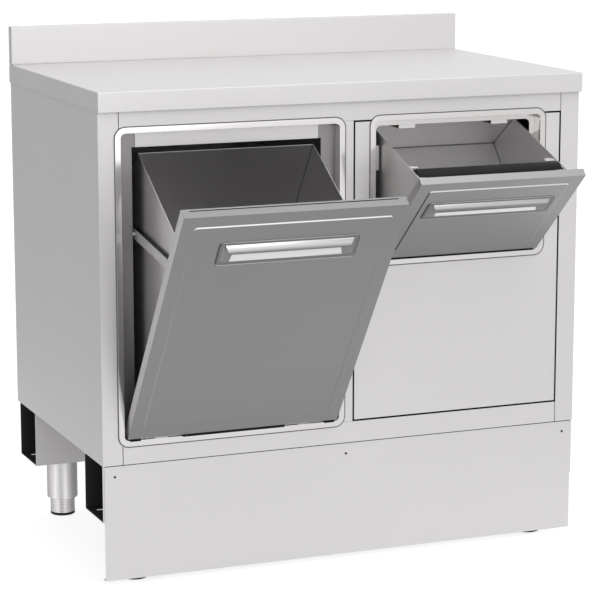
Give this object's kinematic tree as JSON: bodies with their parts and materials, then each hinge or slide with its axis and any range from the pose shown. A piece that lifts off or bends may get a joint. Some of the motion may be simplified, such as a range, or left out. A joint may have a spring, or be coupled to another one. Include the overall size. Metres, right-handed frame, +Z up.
{
  "type": "coffee station counter",
  "caption": "Stainless coffee station counter with a tilt-out waste bin, a tilt-out knock-out drawer with a rubber bar, a backsplash, a plinth and adjustable feet.",
  "frame": {"origin": "on the floor, under the middle of the outer box with both doors open", "axes": "+X to the right seen from the front, +Y towards the back, +Z up"},
  "size_m": [1, 0.921, 1.0173],
  "materials": {
    "satin_steel": "satin, finely brushed",
    "bright_trim_steel": "bright, almost mirror",
    "door_steel": "satin, darker where it leans forward",
    "inner_steel": "satin, in shade",
    "black_rubber": "matt",
    "stiffening_board": "raw board, hidden"
  },
  "bodies": {
    "counter": {"worktop_skin": "satin_steel", "backsplash": "satin_steel", "left_side_panel": "satin_steel", "right_side_panel": "satin_steel", "top_front_rail": "satin_steel", "bottom_front_rail": "satin_steel", "centre_mullion": "satin_steel", "back_panel": "satin_steel", "cabinet_floor": "satin_steel", "centre_partition": "satin_steel", "right_front_panel": "satin_steel", "bin_inner_frame": "satin_steel", "front_base_channel": "satin_steel", "rear_base_channel": "satin_steel", "plinth": "satin_steel", "leg_front_left": "satin_steel", "leg_front_right": "satin_steel", "leg_rear_left": "satin_steel", "leg_rear_right": "satin_steel", "bin_opening_ring": "bright_trim_steel", "drawer_opening_ring": "bright_trim_steel", "bin_top_bar": "bright_trim_steel", "drawer_inner_frame": "bright_trim_steel", "drawer_stop_tab_left": "bright_trim_steel", "drawer_stop_tab_right": "bright_trim_steel", "bin_door_fixed_leaf_left": "bright_trim_steel", "bin_door_fixed_leaf_right": "bright_trim_steel", "drawer_front_fixed_leaf_left": "bright_trim_steel", "drawer_front_fixed_leaf_right": "bright_trim_steel", "worktop_core": "stiffening_board"},
    "waste_bin": {"bin_door_skin": "door_steel", "bin_door_back": "inner_steel", "bin_door_handle_cup": "door_steel", "bin_door_handle_grip": "bright_trim_steel", "bin_hopper": "inner_steel", "bin_side_rail_left": "satin_steel", "bin_side_rail_right": "satin_steel", "bin_door_door_leaf_left": "bright_trim_steel", "bin_door_door_leaf_right": "bright_trim_steel"},
    "knock_drawer": {"drawer_front_skin": "door_steel", "drawer_front_back": "inner_steel", "drawer_front_handle_cup": "door_steel", "drawer_front_handle_grip": "bright_trim_steel", "drawer_box": "inner_steel", "knock_bar_core": "bright_trim_steel", "knock_bar_sleeve": "black_rubber", "knock_bar_bracket_left": "bright_trim_steel", "knock_bar_bracket_right": "bright_trim_steel", "drawer_front_door_leaf_left": "bright_trim_steel", "drawer_front_door_leaf_right": "bright_trim_steel"},
    "foot_body_front_left": {"foot_front_left": "satin_steel", "foot_pad_front_left": "black_rubber"},
    "foot_body_front_right": {"foot_front_right": "satin_steel", "foot_pad_front_right": "black_rubber"},
    "foot_body_rear_left": {"foot_rear_left": "satin_steel", "foot_pad_rear_left": "black_rubber"},
    "foot_body_rear_right": {"foot_rear_right": "satin_steel", "foot_pad_rear_right": "black_rubber"}
  },
  "joints": [
    {"name": "bin_tilt", "type": "hinge", "parent": "counter", "child": "waste_bin", "pos_m": [-0.23525, -0.12704, 0.2837], "axis": [-1, 0, 0], "range_deg": [0, 35]},
    {"name": "drawer_tilt", "type": "hinge", "parent": "counter", "child": "knock_drawer", "pos_m": [0.23525, -0.12704, 0.5957], "axis": [-1, 0, 0], "range_deg": [0, 49]},
    {"name": "foot_height_front_left", "type": "slide", "parent": "counter", "child": "foot_body_front_left", "axis": [0, 0, -1], "range_m": [0, 0.03]},
    {"name": "foot_height_front_right", "type": "slide", "parent": "counter", "child": "foot_body_front_right", "axis": [0, 0, -1], "range_m": [0, 0.03]},
    {"name": "foot_height_rear_left", "type": "slide", "parent": "counter", "child": "foot_body_rear_left", "axis": [0, 0, -1], "range_m": [0, 0.03]},
    {"name": "foot_height_rear_right", "type": "slide", "parent": "counter", "child": "foot_body_rear_right", "axis": [0, 0, -1], "range_m": [0, 0.03]}
  ]
}
